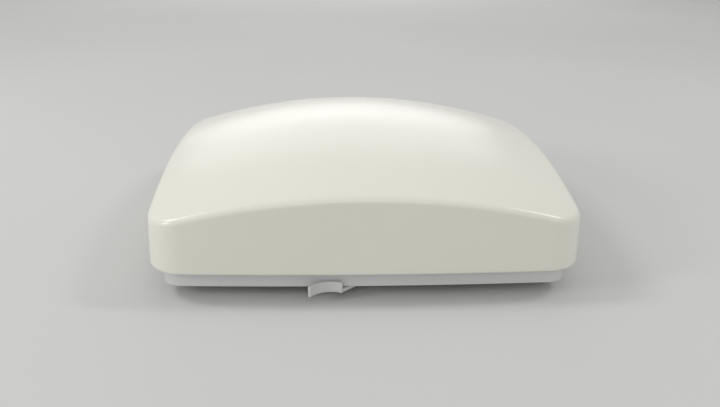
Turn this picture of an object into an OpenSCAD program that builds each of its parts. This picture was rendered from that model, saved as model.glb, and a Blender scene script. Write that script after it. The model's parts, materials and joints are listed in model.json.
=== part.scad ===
// Enclosed directional panel antenna: a domed radome on a shallow base tray, a two by two array of
// stacked patch elements inside, and a flat wall plate that a swinging lever locks the tray onto.
// The wall plate's back lies on z = 0, the beam points along +Z, and +Y is up on the wall.

/* [Radome] */
// Overall width of the radome at its rim
radome_w = 190; // [170:1:210]
// Overall length of the radome at its rim
radome_l = 182; // [165:1:200]
// Plan radius of the radome's corners
corner_r = 17; // [10:1:24]
// Outward bow of the two ends at their middle
end_bow = 1.8; // [0:0.1:4]
// Outward bow of the two sides at their middle
side_bow = 0.9; // [0:0.1:3]
// Height of the top above the rim at the four corners
corner_h = 19; // [16:0.5:24]
// Rise of the arch across the width
arch_x = 15; // [8:0.5:18]
// Rise of the arch along the length
arch_y = 11; // [4:0.5:14]
// Radius of the edge between walls and top
edge_r = 3.4; // [2:0.1:5]
// Draft of the side walls, in degrees
draft = 2; // [0:0.25:3]
// Wall thickness of the radome
shell_t = 2.6; // [2:0.1:3.2]

/* [Base tray] */
// How far the tray's wall stands inside the radome's outline
tray_inset = 5.8; // [4.5:0.1:8]
// Plan radius of the tray's corners
tray_corner_r = 8.7; // [6:0.1:11]
// Height of tray wall that shows under the radome's rim
tray_h = 8.1; // [7.5:0.1:10]
// Thickness of the tray's floor
floor_t = 2.5; // [2:0.1:3]

/* [Array] */
// Distance between the stacks across the width
stack_dx = 73; // [66:1:76]
// Distance between the stacks along the length
stack_dy = 69; // [62:1:72]
// Side of a driven patch
driven_side = 52; // [46:1:56]
// Side of a director
director_side = 46; // [40:1:50]

/* [Wall plate] */
// Width of the wall plate
plate_w = 110; // [104:1:130]
// Thickness of the wall plate
plate_t = 3; // [2.5:0.1:3.2]
// Distance between the wall screws, both ways
screw_pitch = 50; // [40:1:54]
// Diameter of a wall screw hole
screw_d = 5; // [4:0.1:6]

/* [Lock lever] */
// Distance that the lever lifts the antenna along the plate
lift = 5; // [4.8:0.1:5.2]
// Angle that the lever swings through, in degrees
swing = 60; // [50:1:70]
// Height of the finger grip
grip_h = 4.9; // [4:0.1:5.4]
// Radius of the hollow that takes a fingertip
finger_r = 10.3; // [9.5:0.1:12]

/* [Hidden] */
$fn = 64;
eps = 0.01;

// Levels along the beam
slide_gap = 0.3;                     // between the wall plate's rim and the tray
tray_z = 5.4;                        // tray's underside
rim_z = tray_z + tray_h;             // radome's rim
floor_z = tray_z + floor_t;          // tray's floor, inside
flange_z = rim_z + 0.5;              // underside of the tray's flange
flange_top = flange_z + 5;
reflector_z = 22;
reflector_t = 1;
board_z = reflector_z + reflector_t;
board_t = 0.8;
trace_t = 0.1;
element_t = 0.8;
driven_z = board_z + board_t + 5.2;
director_z = driven_z + element_t + 9.2;

// Radome and tray
tray_wall = 2.2;
flange_inset = shell_t + 0.5;
groove_inset = flange_inset + 1.9;
groove_z = flange_z + 1.5;
groove_h = 2;
arc_steps = 12;                      // segments in each corner of an outline
bow_steps = 8;                       // segments in each bowed side

// Screws that join radome and tray
boss_r = 3.6;
boss_h = 16;
boss_bore = 12;
web_t = 1.6;
web_h = 14;
web_gap = 3;                         // web's end, in from the radome's rim
tube_r = 4.6;
tube_bore_r = 3.2;
head_r = 2.8;
head_h = 2.2;
shank_r = 1.4;
pilot_r = 1.45;
screw_l = 12;
head_top = flange_top - 2.4;
boss_spots = concat(
    [for (sx = [-1, 1], sy = [-1, 1]) [78 * sx, 74 * sy]],
    [for (sx = [-1, 1]) [81 * sx, 0]],
    [for (sx = [-1, 1], sy = [-1, 1]) [40 * sx, 76 * sy]]
);

// Vent and label on the tray's back
vent_spot = [40, -56];
vent_cap_r = 5.5;
vent_cap_t = 0.8;
vent_bore_r = 3;
vent_snap_r = 3.8;
vent_snap_t = 1.2;
vent_recess = 1;
label_spot = [66.5, 8];
label_w = 16;
label_l = 44;
label_t = 0.2;
label_gap = 0.3;

// Cable bay and jack
bay_w = 38;
bay_y = 36;                          // bay's inner end, where the jack comes through
bay_end = 82.5;
bay_top = 19;
bay_wall = 2;
jack_z = 13.2;
thread_r = 3.175;
shank_under_r = 2.8;                 // under the nut
jack_flange_t = 2;
jack_nut_t = 2;
jack_washer_t = 0.6;
jack_tail = 3.2;
socket_r = 2.1;
contact_r = 0.65;
jack_end = bay_y + 11.5;
jack_back = bay_y - bay_wall - 0.8;  // where the jack's flange presses its seal
contact_y = jack_back + 0.3;
coax_end = contact_y - 1;
hex_af = 8;                          // across flats of the jack's hexagons

// Reflector
reflector_w = 146;
reflector_l = 138;
lip_h = 7;
post_r = 3.5;
post_bore_from = floor_z + 4;
post_screw_l = 9;
post_clear_r = 1.7;
post_spots = [for (sx = [-1, 1], y = [-56, 0, 56]) [60 * sx, y]];
stack_spots = [for (sx = [-1, 1], sy = [-1, 1]) [sx * stack_dx / 2, sy * stack_dy / 2]];
feed_offset = 14.5;                  // from a patch's centre to its feed pin
board_w = 100;
board_l = 92;
trace_w = 2.2;
pad_r = 2.4;
feed_pin_r = 0.7;
stack_screw_r = 1.5;
stack_bore_r = 1.6;
stack_nut_bore_r = 1.55;
stack_nut_af = 5.5;
stack_nut_t = 2.4;
stack_tip = 3;                       // screw below the reflector
spacer_r = 4;

// Coax jumper
coax_r = 1.1;
coax_bend = 6;
coax_y = 2;                          // where it rises through the reflector
core_r = 0.4;
core_tip = 0.6;                      // core above the feed traces
solder_r = 1.8;
solder_tip_r = 0.7;

// Wall plate and hooks
plate_y = [-51, 33];
plate_rim_w = 3;
plate_corner_r = 8;
screw_boss_r = 6.5;
countersink = 2.4;
plate_top = tray_z - slide_gap;
hook_spots = [for (sx = [-1, 1], y = [-27, 17]) [42 * sx, y]];
hook_w = 10;
hook_stem = 3;
hook_lip = 4.6;
lip_z = floor_z + 0.3;
hook_top = lip_z + 2;
window_w = hook_w + 0.8;
window_back = hook_stem + lift + 0.2; // window's reach from the stem's bearing face
pocket_wall = 1.5;
screw_y = -9;                        // centre of the wall screws
wall_screws = [for (sx = [-1, 1], sy = [-1, 1]) [sx * screw_pitch / 2, screw_y + sy * screw_pitch / 2]];

// Lever
pivot = [0, -69.4];
shoulder_r = 2.5;
pivot_clear = 0.05;
arm_z = 3.6;
arm_t = 1.5;
lever_top = arm_z + arm_t;
hub_z = 1.7;
hub_r = 6;
lever_head_r = 4.5;
lever_head_z = 0.5;
lever_head_t = 1.1;
lever_thread_r = 1.5;
lever_thread_l = 9;
lever_bore_r = 1.55;
lever_boss_r = 5;
lever_boss_h = 11;
tongue_t = 1.4;
tongue_r = 3;
pin_r = 1.5;
pin_reach = 13;                      // from pivot to cam pin when locked
slot_clear = 0.09;
slot_wall = 2.1;
slot_slack = 2;                      // degrees of slot beyond each end of the swing
grip_t = 1.2;
grip_left = [-24.4, -91.5];          // finger hollow's far tip when locked
grip_right = [-11, -88];             // finger hollow's near tip when locked

function side(a, b, n, bow, out) =
    [for (i = [0:n - 1]) let (t = i / n) a + (b - a) * t + out * bow * 4 * t * (1 - t)];

function corner(c, r, from) =
    [for (i = [0:arc_steps - 1]) let (a = from + 90 * i / arc_steps) c + r * [cos(a), sin(a)]];

// Arc of a circle as a list of points, end points included
function arc(c, r, from, to) =
    [for (i = [0:arc_steps]) let (a = from + (to - from) * i / arc_steps) c + r * [cos(a), sin(a)]];

// Rounded rectangle with bowed sides, inset from the radome's own outline
function outline(inset) = rounded_outline(inset, max(corner_r - inset, 1.5));

function rounded_outline(inset, r) =
    let (
        w = radome_w / 2 - side_bow - inset,
        l = radome_l / 2 - end_bow - inset,
        x = w - r,
        y = l - r
    )
    concat(
        corner([x, -y], r, -90),
        side([w, -y], [w, y], bow_steps, side_bow, [1, 0]),
        corner([x, y], r, 0),
        side([x, l], [-x, l], bow_steps, end_bow, [0, 1]),
        corner([-x, y], r, 90),
        side([-w, y], [-w, -y], bow_steps, side_bow, [-1, 0]),
        corner([-x, -y], r, 180),
        side([-x, -l], [x, -l], bow_steps, end_bow, [0, -1])
    );

// Height of the radome's outside over a point of the plan
function crown(p) =
    rim_z + corner_h
    + arch_x * (1 - pow(p[0] / (radome_w / 2), 2))
    + arch_y * (1 - pow(p[1] / (radome_l / 2), 2));

// One ring of the radome's skin: up the drafted wall, round the edge and over the top
function wall_ring(inset, z) =
    [for (p = outline(inset + (z - rim_z) * tan(draft))) [p[0], p[1], z]];

function edge_ring(depth, turn) =
    let (rim = outline(depth + edge_r))
    [for (i = [0:len(rim) - 1])
        let (
            z0 = crown(rim[i]) - depth - edge_r,
            lean = (z0 - rim_z) * tan(draft),
            p = outline(depth + edge_r * (1 - cos(turn)) + lean)[i]
        )
        [p[0], p[1], z0 + edge_r * sin(turn)]];

function top_ring(depth, share) =
    [for (p = outline(depth + edge_r))
        let (
            lean = (crown(p) - depth - edge_r - rim_z) * tan(draft),
            q = p * (1 - lean / norm(p)) * share
        )
        [q[0], q[1], crown(q) - depth]];

module skin(rings) {
    n = len(rings[0]);
    m = len(rings);
    points = [for (ring = rings) each ring];
    walls = [for (j = [0:m - 2], i = [0:n - 1])
        let (a = j * n + i, b = j * n + (i + 1) % n)
        each [[a, a + n, b + n], [a, b + n, b]]];
    first = [[for (i = [0:n - 1]) i]];
    last = [[for (i = [n - 1:-1:0]) (m - 1) * n + i]];
    polyhedron(points = points, faces = concat(walls, first, last), convexity = 4);
}

function shell_rings(depth, low, turns, shares) = concat(
    [wall_ring(depth, low)],
    [for (t = turns) edge_ring(depth, t)],
    [for (s = shares) top_ring(depth, s)]
);

top_shares = [0.94, 0.85, 0.72, 0.56, 0.38, 0.2, 0.05];

module at(spots) {
    for (s = spots) translate([s[0], s[1], 0]) children();
}

// Slab of the tray's own plan, inset from the tray's outside
module tray_slab(inset, z, h) {
    translate([0, 0, z]) linear_extrude(h)
        polygon(rounded_outline(tray_inset + inset, tray_corner_r - inset));
}

module radome() {
    color("ivory") difference() {
        union() {
            difference() {
                skin(shell_rings(0, rim_z, [0, 18, 36, 54, 72, 90], top_shares));
                skin(shell_rings(shell_t, rim_z - 1, [0, 45, 90], top_shares));
            }
            at(boss_spots) translate([0, 0, flange_top]) cylinder(r = boss_r, h = boss_h);
            for (s = boss_spots) boss_web(s);
        }
        at(boss_spots) translate([0, 0, flange_top - 1]) cylinder(r = pilot_r, h = boss_bore + 1);
    }
}

// Web that ties a screw boss to the nearest wall
module boss_web(spot) {
    by_side = abs(spot[0]) > radome_w / 3;
    out = by_side ? [sign(spot[0]), 0] : [0, sign(spot[1])];
    reach = by_side ? radome_w / 2 - abs(spot[0]) : radome_l / 2 - abs(spot[1]);
    translate([spot[0], spot[1], flange_top])
        rotate(atan2(out[1], out[0]))
            translate([0, -web_t / 2, 0])
                cube([reach - web_gap, web_t, web_h]);
}

module base_tray() {
    color("gainsboro") difference() {
        union() {
            difference() {
                union() {
                    tray_slab(0, tray_z, flange_top - tray_z);
                    translate([0, 0, flange_z]) linear_extrude(flange_top - flange_z)
                        polygon(outline(flange_inset));
                }
                tray_slab(tray_wall, floor_z, flange_top);
                gasket_ring(groove_inset, flange_inset - 1);
            }
            at(boss_spots) translate([0, 0, tray_z]) cylinder(r = tube_r, h = flange_top - tray_z);
            at(post_spots) translate([0, 0, tray_z]) cylinder(r = post_r, h = reflector_z - tray_z);
            translate([pivot[0], pivot[1], tray_z]) cylinder(r = lever_boss_r, h = lever_boss_h);
            bay_block(bay_wall, floor_z - 1, bay_top + bay_wall);
            for (h = hook_spots) hook_pocket(h);
        }
        bay_block(0, tray_z - 1, bay_top);
        translate([-bay_w / 2, bay_end - 4, tray_z - 1]) cube([bay_w, 20, rim_z - tray_z + 0.6]);
        at(boss_spots) {
            translate([0, 0, tray_z - 1]) cylinder(r = tube_bore_r, h = head_top - tray_z + 1);
            translate([0, 0, tray_z]) cylinder(r = pilot_r + 0.2, h = flange_top);
        }
        at(post_spots) translate([0, 0, post_bore_from]) cylinder(r = pilot_r, h = reflector_z);
        translate([pivot[0], pivot[1], tray_z - 1]) cylinder(r = lever_bore_r, h = lever_thread_l + 1.5);
        jack_hole();
        for (h = hook_spots) hook_window(h);
        translate([vent_spot[0], vent_spot[1], tray_z - 1]) cylinder(r = vent_bore_r, h = 10);
        translate([vent_spot[0], vent_spot[1], tray_z - 1])
            cylinder(r = vent_cap_r + 0.2, h = vent_recess + 1);
        translate([0, 0, tray_z - 1]) linear_extrude(1 + label_t) label_plan(label_gap);
    }
}

module label_plan(grow) {
    translate([label_spot[0] - label_w / 2 - grow, label_spot[1] - label_l / 2 - grow])
        square([label_w + 2 * grow, label_l + 2 * grow]);
}

module label() {
    color("silver") translate([0, 0, tray_z]) linear_extrude(label_t) label_plan(0);
}

module gasket_ring(inner, outer) {
    translate([0, 0, groove_z]) linear_extrude(groove_h) difference() {
        polygon(outline(outer));
        polygon(outline(inner));
    }
}

module bay_block(grow, low, high) {
    translate([-bay_w / 2 - grow, bay_y - grow, low])
        cube([bay_w + 2 * grow, bay_end - bay_y + grow + (grow > 0 ? 1 : 0), high - low]);
}

module jack_hole() {
    translate([0, bay_y - bay_wall - 1, jack_z]) along_y()
        cylinder(r = shank_under_r + 0.1, h = bay_wall + 2);
}

// Turns a shape that stands on z = 0 so that it lies along +Y
module along_y() {
    rotate([-90, 0, 0]) children();
}

module hook_pocket(spot) {
    translate([spot[0] - window_w / 2 - pocket_wall, spot[1] - window_back - pocket_wall, floor_z - 1])
        cube([
            window_w + 2 * pocket_wall,
            window_back + hook_lip + 0.4 + 2 * pocket_wall,
            hook_top + 0.4 + pocket_wall - floor_z + 1
        ]);
}

module hook_window(spot) {
    translate([spot[0] - window_w / 2, spot[1] - window_back, tray_z - 1])
        cube([window_w, window_back + 0.1, floor_z - tray_z + 2]);
    translate([spot[0] - window_w / 2, spot[1] - window_back, floor_z])
        cube([window_w, window_back + hook_lip + 0.4, hook_top + 0.4 - floor_z]);
}

module rim_gasket() {
    color("dimgray") gasket_ring(groove_inset, shell_t + 0.18);
}

module pan_screw(r, head, head_h, length) {
    cylinder(r = r, h = length);
    translate([0, 0, -head_h]) difference() {
        cylinder(r = head, h = head_h);
        translate([0, 0, -eps]) for (a = [0, 90]) rotate(a)
            translate([-head * 0.6, -0.4, 0]) cube([head * 1.2, 0.8, head_h * 0.55]);
    }
}

module radome_screws() {
    color("silver") at(boss_spots) translate([0, 0, head_top]) pan_screw(shank_r, head_r, head_h, screw_l);
}

module vent_plug() {
    color("dimgray") translate([vent_spot[0], vent_spot[1], tray_z]) {
        translate([0, 0, vent_recess - vent_cap_t]) cylinder(r = vent_cap_r, h = vent_cap_t);
        translate([0, 0, vent_recess]) cylinder(r = vent_bore_r - 0.05, h = floor_t + 0.5);
        translate([0, 0, floor_t + 0.1]) cylinder(r = vent_snap_r, h = vent_snap_t);
    }
}

module reflector() {
    color("lightgray") difference() {
        union() {
            centred_plate(reflector_w, reflector_l, reflector_z, reflector_t);
            difference() {
                centred_plate(reflector_w, reflector_l, reflector_z, lip_h);
                centred_plate(
                    reflector_w - 2 * reflector_t,
                    reflector_l - 2 * reflector_t,
                    reflector_z + eps,
                    lip_h
                );
            }
        }
        at(post_spots) translate([0, 0, reflector_z - 1]) cylinder(r = post_clear_r, h = 3);
        at(stack_spots) translate([0, 0, reflector_z - 1]) cylinder(r = stack_bore_r, h = 3);
        translate([0, coax_y, reflector_z - 1]) cylinder(r = coax_r + 0.5, h = 3);
    }
}

module centred_plate(w, l, z, h) {
    translate([-w / 2, -l / 2, z]) cube([w, l, h]);
}

module reflector_screws() {
    color("silver") at(post_spots)
        translate([0, 0, board_z]) mirror([0, 0, 1]) pan_screw(shank_r, head_r, head_h, post_screw_l);
}

module feed_board() {
    color("darkgreen") difference() {
        centred_plate(board_w, board_l, board_z, board_t);
        at(stack_spots) translate([0, 0, board_z - 1]) cylinder(r = stack_bore_r, h = 3);
        translate([0, coax_y, board_z - 1]) cylinder(r = core_r, h = 3);
    }
}

module feed_traces() {
    color("peru") translate([0, 0, board_z + board_t]) difference() {
        linear_extrude(trace_t) union() {
            translate([-stack_dx / 2 - trace_w / 2, coax_y - 3 - trace_w / 2])
                square([stack_dx + trace_w, trace_w]);
            for (sx = [-1, 1])
                translate([sx * stack_dx / 2 - trace_w / 2, -stack_dy / 2 + feed_offset - 1])
                    square([trace_w, stack_dy - 2 * feed_offset + 2]);
            translate([-trace_w / 2, coax_y - 3]) square([trace_w, 3]);
            translate([0, coax_y]) circle(r = pad_r);
        }
        translate([0, coax_y, -1]) cylinder(r = core_r, h = 3);
    }
}

module feed_pins() {
    color("gold") for (s = stack_spots)
        translate([s[0], s[1] - sign(s[1]) * feed_offset, board_z + board_t + trace_t])
            cylinder(r = feed_pin_r, h = driven_z - board_z - board_t - trace_t, $fn = 24);
}

module element(i, side, z) {
    s = stack_spots[i - 1];
    color("gold") difference() {
        translate([s[0], s[1], 0]) centred_plate(side, side, z, element_t);
        translate([s[0], s[1], z - 1]) cylinder(r = stack_bore_r, h = 3);
    }
}

module spacers(z, h) {
    color("white") at(stack_spots) translate([0, 0, z]) difference() {
        cylinder(r = spacer_r, h = h);
        translate([0, 0, -1]) cylinder(r = stack_bore_r, h = h + 2);
    }
}

module lower_spacers() {
    spacers(board_z + board_t, driven_z - board_z - board_t);
}

module upper_spacers() {
    spacers(driven_z + element_t, director_z - driven_z - element_t);
}

module stack_screws() {
    length = director_z + element_t - reflector_z + stack_tip;
    color("white") at(stack_spots) translate([0, 0, director_z + element_t])
        mirror([0, 0, 1]) pan_screw(stack_screw_r, head_r, head_h, length);
}

module stack_nuts() {
    color("white") at(stack_spots) translate([0, 0, reflector_z - stack_nut_t]) difference() {
        cylinder(r = stack_nut_af / sqrt(3), h = stack_nut_t, $fn = 6);
        translate([0, 0, -1]) cylinder(r = stack_nut_bore_r, h = stack_nut_t + 2);
    }
}

module coax_jumper() {
    color("peru") {
        translate([0, coax_y + coax_bend, jack_z]) along_y()
            cylinder(r = coax_r, h = coax_end - coax_y - coax_bend);
        translate([0, coax_end - eps, jack_z]) along_y()
            cylinder(r = core_r, h = contact_y - coax_end + eps);
        translate([0, coax_y + coax_bend, jack_z + coax_bend]) rotate([0, 90, 0]) rotate([0, 0, -90])
            rotate_extrude(angle = 90) translate([coax_bend, 0]) circle(r = coax_r);
        translate([0, coax_y, jack_z + coax_bend]) cylinder(r = coax_r, h = board_z - jack_z - coax_bend);
        translate([0, coax_y, board_z - eps]) cylinder(r = core_r, h = board_t + trace_t + core_tip + eps);
    }
}

module solder_joint() {
    color("silver") translate([0, coax_y, board_z + board_t + trace_t]) difference() {
        cylinder(r1 = solder_r, r2 = solder_tip_r, h = core_tip);
        translate([0, 0, -1]) cylinder(r = core_r, h = 3);
    }
}

module hexagon(h) {
    cylinder(r = hex_af / sqrt(3), h = h, $fn = 6);
}

module jack_shell() {
    nut_end = bay_y + jack_washer_t + jack_nut_t;
    color("goldenrod") difference() {
        union() {
            translate([0, jack_back - jack_flange_t, jack_z]) along_y() hexagon(jack_flange_t);
            translate([0, jack_back - eps, jack_z]) along_y()
                cylinder(r = shank_under_r, h = nut_end + eps - jack_back);
            translate([0, nut_end, jack_z]) along_y() cylinder(r = thread_r, h = jack_end - nut_end);
            translate([0, jack_back - jack_flange_t - jack_tail, jack_z]) along_y()
                cylinder(r = 1.9, h = jack_tail + eps);
        }
        translate([0, jack_back - jack_flange_t - jack_tail - 1, jack_z]) along_y()
            cylinder(r = coax_r, h = 20);
        translate([0, contact_y, jack_z]) along_y() cylinder(r = socket_r, h = 30);
    }
}

module jack_insulator() {
    color("white") translate([0, contact_y, jack_z]) along_y() difference() {
        cylinder(r = socket_r, h = jack_end - 2.5 - contact_y);
        translate([0, 0, -1]) cylinder(r = contact_r, h = 40);
    }
}

module jack_contact() {
    length = jack_end - 2.3 - contact_y;
    color("gold") translate([0, contact_y, jack_z]) along_y() difference() {
        cylinder(r = contact_r, h = length);
        translate([0, 0, length - 3]) cylinder(r = 0.47, h = 4);
    }
}

module jack_ring(inner, outer, y, h) {
    translate([0, y, jack_z]) along_y() difference() {
        cylinder(r = outer, h = h);
        translate([0, 0, -1]) cylinder(r = inner, h = h + 2);
    }
}

module jack_seal() {
    color("dimgray") jack_ring(shank_under_r, shank_under_r + 1, jack_back, bay_y - bay_wall - jack_back);
}

module jack_washer() {
    color("silver") jack_ring(shank_under_r, hex_af / 2 + 0.2, bay_y, jack_washer_t);
}

module jack_nut() {
    color("goldenrod") translate([0, bay_y + jack_washer_t, jack_z]) along_y() difference() {
        hexagon(jack_nut_t);
        translate([0, 0, -1]) cylinder(r = shank_under_r, h = jack_nut_t + 2);
    }
}

module plate_plan(inset, r) {
    x = plate_w / 2 - inset - r;
    y0 = plate_y[0] + inset + r;
    y1 = plate_y[1] - inset - r;
    polygon(concat(
        arc([x, y0], r, -90, 0),
        arc([x, y1], r, 0, 90),
        arc([-x, y1], r, 90, 180),
        arc([-x, y0], r, 180, 270)
    ));
}

module hook(spot) {
    translate([spot[0] - hook_w / 2, spot[1] - hook_stem, plate_t - 1])
        cube([hook_w, hook_stem, hook_top - plate_t + 1]);
    translate([spot[0] - hook_w / 2, spot[1] - eps, lip_z])
        cube([hook_w, hook_lip + eps, hook_top - lip_z]);
}

module wall_plate() {
    color("whitesmoke") difference() {
        union() {
            difference() {
                linear_extrude(plate_top) plate_plan(0, plate_corner_r);
                translate([0, 0, plate_t]) linear_extrude(plate_top)
                    plate_plan(plate_rim_w, plate_corner_r - plate_rim_w);
            }
            for (h = hook_spots) hook(h);
            at(wall_screws) cylinder(r = screw_boss_r, h = plate_top);
            translate([-tongue_r, pivot[1] + pin_reach, 0]) cube([2 * tongue_r, 10, tongue_t]);
            translate([0, pivot[1] + pin_reach, 0]) cylinder(r = tongue_r, h = tongue_t);
        }
        lever_room();
        translate([0, pivot[1] + pin_reach, -1]) cylinder(r = pin_r, h = 10);
        at(wall_screws) {
            translate([0, 0, -1]) cylinder(d = screw_d, h = 20);
            translate([0, 0, plate_top - countersink])
                cylinder(d1 = screw_d, d2 = screw_d + 5, h = countersink + 0.1);
        }
    }
}

// Space above the tongue that the lever's hub sweeps as the antenna lifts
module lever_room() {
    room_r = pin_reach + pin_r + slot_clear + slot_wall + 0.6;
    translate([0, 0, tongue_t]) linear_extrude(20) {
        translate(pivot) circle(r = room_r);
        translate(pivot + [0, lift]) circle(r = room_r);
        translate(pivot + [-room_r, 0]) square([2 * room_r, lift]);
    }
}

module cam_pin() {
    color("silver") translate([0, pivot[1] + pin_reach, 0.2]) cylinder(r = pin_r, h = lever_top - 0.4);
}

// Spiral that a cam pin follows: it comes nearer to the pivot in step with the lever's swing
function spiral_r(turn) = pin_reach - lift * turn / swing;

function spiral_lean(turn) = atan(lift / (swing * PI / 180) / spiral_r(turn));

function spiral(turn, off) =
    let (a = 90 - turn, out = a - spiral_lean(turn))
    spiral_r(turn) * [cos(a), sin(a)] + off * [cos(out), sin(out)];

slot_from = -slot_slack;
slot_to = swing + slot_slack;
slot_steps = 32;

function spiral_band(off) =
    [for (i = [0:slot_steps]) spiral(slot_from + (slot_to - slot_from) * i / slot_steps, off)];

function reversed(list) = [for (i = [len(list) - 1:-1:0]) list[i]];

// Direction that points away from the pivot, square to the spiral
function spiral_out(turn) = 90 - turn - spiral_lean(turn);

module slot_plan() {
    half = pin_r + slot_clear;
    polygon(concat(
        reversed(spiral_band(half)),
        arc(spiral(slot_from, 0), half, spiral_out(slot_from) + 5, spiral_out(slot_from) + 175),
        spiral_band(-half),
        arc(spiral(slot_to, 0), half, spiral_out(slot_to) + 185, spiral_out(slot_to) + 355)
    ));
}

module hub_plan() {
    half = pin_r + slot_clear + slot_wall;
    polygon(concat(
        reversed(spiral_band(half)),
        arc(spiral(slot_from, 0), half, spiral_out(slot_from) + 5, 175),
        arc([0, 0], hub_r, 175, 300),
        arc(spiral(slot_to, 0), half, -60, spiral_out(slot_to) - 5)
    ));
}

// Centre of the finger hollow, from its two tips and its radius, relative to the pivot
grip_a = grip_left - pivot;
grip_b = grip_right - pivot;
grip_mid = (grip_a + grip_b) / 2;
grip_chord = grip_b - grip_a;
grip_away = [grip_chord[1], -grip_chord[0]] / norm(grip_chord);
finger_c = grip_mid + grip_away * sqrt(pow(finger_r, 2) - pow(norm(grip_chord) / 2, 2));
angle_a = atan2((grip_a - finger_c)[1], (grip_a - finger_c)[0]);
angle_b = atan2((grip_b - finger_c)[1], (grip_b - finger_c)[0]);

function finger_arc(r) =
    [for (i = [0:16]) let (a = angle_a + (angle_b - angle_a) * i / 16) finger_c + r * [cos(a), sin(a)]];

module arm_plan() {
    polygon(concat(
        finger_arc(finger_r + grip_t / 2),
        [hub_r * [cos(-46.5), sin(-46.5)], [0, 0], hub_r * [cos(150), sin(150)]]
    ));
}

module lock_lever() {
    color("lightgray") translate([pivot[0], pivot[1], 0]) difference() {
        union() {
            translate([0, 0, hub_z]) linear_extrude(lever_top - hub_z) hub_plan();
            translate([0, 0, arm_z]) linear_extrude(arm_t) arm_plan();
            translate([0, 0, arm_z]) linear_extrude(grip_h)
                polygon(concat(finger_arc(finger_r), reversed(finger_arc(finger_r + grip_t))));
        }
        translate([0, 0, hub_z - 1]) linear_extrude(10) slot_plan();
        translate([0, 0, hub_z - 1]) cylinder(r = shoulder_r + pivot_clear, h = 10);
    }
}

module lever_screw() {
    color("silver") translate([pivot[0], pivot[1], 0]) difference() {
        union() {
            translate([0, 0, lever_head_z]) cylinder(r = lever_head_r, h = lever_head_t);
            translate([0, 0, 1.5]) cylinder(r = shoulder_r, h = tray_z - 1.5);
            translate([0, 0, tray_z - eps]) cylinder(r = lever_thread_r, h = lever_thread_l);
        }
        translate([0, 0, lever_head_z - 0.1]) cylinder(r = 1.5, h = 1.6, $fn = 6);
    }
}

module lever_washer() {
    color("silver") translate([pivot[0], pivot[1], lever_top + 0.02]) difference() {
        cylinder(r = lever_boss_r, h = tray_z - lever_top - 0.04);
        translate([0, 0, -1]) cylinder(r = shoulder_r + 0.1, h = 3);
    }
}

radome();
base_tray();
rim_gasket();
radome_screws();
vent_plug();
label();
reflector();
reflector_screws();
feed_board();
feed_traces();
feed_pins();
for (i = [1:4]) element(i, driven_side, driven_z);
for (i = [1:4]) element(i, director_side, director_z);
lower_spacers();
upper_spacers();
stack_screws();
stack_nuts();
coax_jumper();
solder_joint();
jack_shell();
jack_insulator();
jack_contact();
jack_seal();
jack_washer();
jack_nut();
wall_plate();
cam_pin();
lock_lever();
lever_screw();
lever_washer();
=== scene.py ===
"""Looks of a directional panel antenna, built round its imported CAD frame.

Metres, in the part's own frame: the wall side is z = 0, the beam points along +Z and +Y is up on the wall.
"""

import json
import math

import bmesh
import bpy
from mathutils import Matrix, Vector


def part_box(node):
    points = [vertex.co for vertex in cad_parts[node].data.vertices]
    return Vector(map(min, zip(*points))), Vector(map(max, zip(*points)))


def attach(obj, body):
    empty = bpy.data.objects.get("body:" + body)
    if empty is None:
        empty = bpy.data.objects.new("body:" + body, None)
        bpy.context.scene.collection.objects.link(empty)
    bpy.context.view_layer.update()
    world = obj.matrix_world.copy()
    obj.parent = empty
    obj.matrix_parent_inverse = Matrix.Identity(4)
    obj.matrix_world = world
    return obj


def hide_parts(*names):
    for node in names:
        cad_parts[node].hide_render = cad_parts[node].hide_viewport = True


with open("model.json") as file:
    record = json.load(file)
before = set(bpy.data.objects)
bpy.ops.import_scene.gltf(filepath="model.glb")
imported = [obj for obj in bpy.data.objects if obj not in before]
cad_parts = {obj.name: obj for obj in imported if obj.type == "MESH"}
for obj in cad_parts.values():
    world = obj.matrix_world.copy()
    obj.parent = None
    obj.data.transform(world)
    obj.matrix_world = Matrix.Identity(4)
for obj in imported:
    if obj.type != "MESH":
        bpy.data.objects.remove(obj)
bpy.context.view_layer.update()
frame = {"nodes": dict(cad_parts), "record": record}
scene = bpy.context.scene

MM = 0.001
FULL_TURN = 2 * math.pi
SQUARE = ((-1, -1), (1, -1), (1, 1), (-1, 1))

SLOT_OF = {s["node"]: s["material_slot"] for s in frame["record"]["subparts"]}
BODY_OF = {n: b for b, nodes in frame["record"]["behaviour"]["bodies"].items() for n in nodes}

# ---------------------------------------------------------------- mesh tools

SHARP_DEG = 32
NUT_SHARP_DEG = 28
WELD_DISTANCE = 1e-6
SORT_DIGITS = 5
CORNER_SHARE = 0.45  # of an edge, which the round at one of its ends may take
CORNER_STEPS = 3
FLAT_DEG = 0.3
BEVEL_FROM_DEG = 40
BEVEL_STEPS = 2
BEVEL_ROUND = 0.5
EDGE_BREAK = 0.3 * MM  # on the edges of turned parts
FINE_SEGMENTS, CAP_SEGMENTS, PIN_SEGMENTS, SMALL_SEGMENTS = 64, 48, 40, 32


def finish_mesh(name, bm, sharp_deg=SHARP_DEG):
    """A smooth-shaded object made of bm, with its edges sharp where they turn further than sharp_deg."""
    bmesh.ops.recalc_face_normals(bm, faces=bm.faces)
    mesh = bpy.data.meshes.new(name)
    bm.to_mesh(mesh)
    bm.free()
    for polygon in mesh.polygons:
        polygon.use_smooth = True
    mesh.set_sharp_from_angle(angle=math.radians(sharp_deg))
    obj = bpy.data.objects.new(name, mesh)
    scene.collection.objects.link(obj)
    return obj


def keep_flats_flat(obj):
    """Normals that follow the large faces, so that only the rounded edges between them shade round."""
    modifier = obj.modifiers.new("weighted_normals", "WEIGHTED_NORMAL")
    modifier.keep_sharp = True
    return obj


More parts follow.
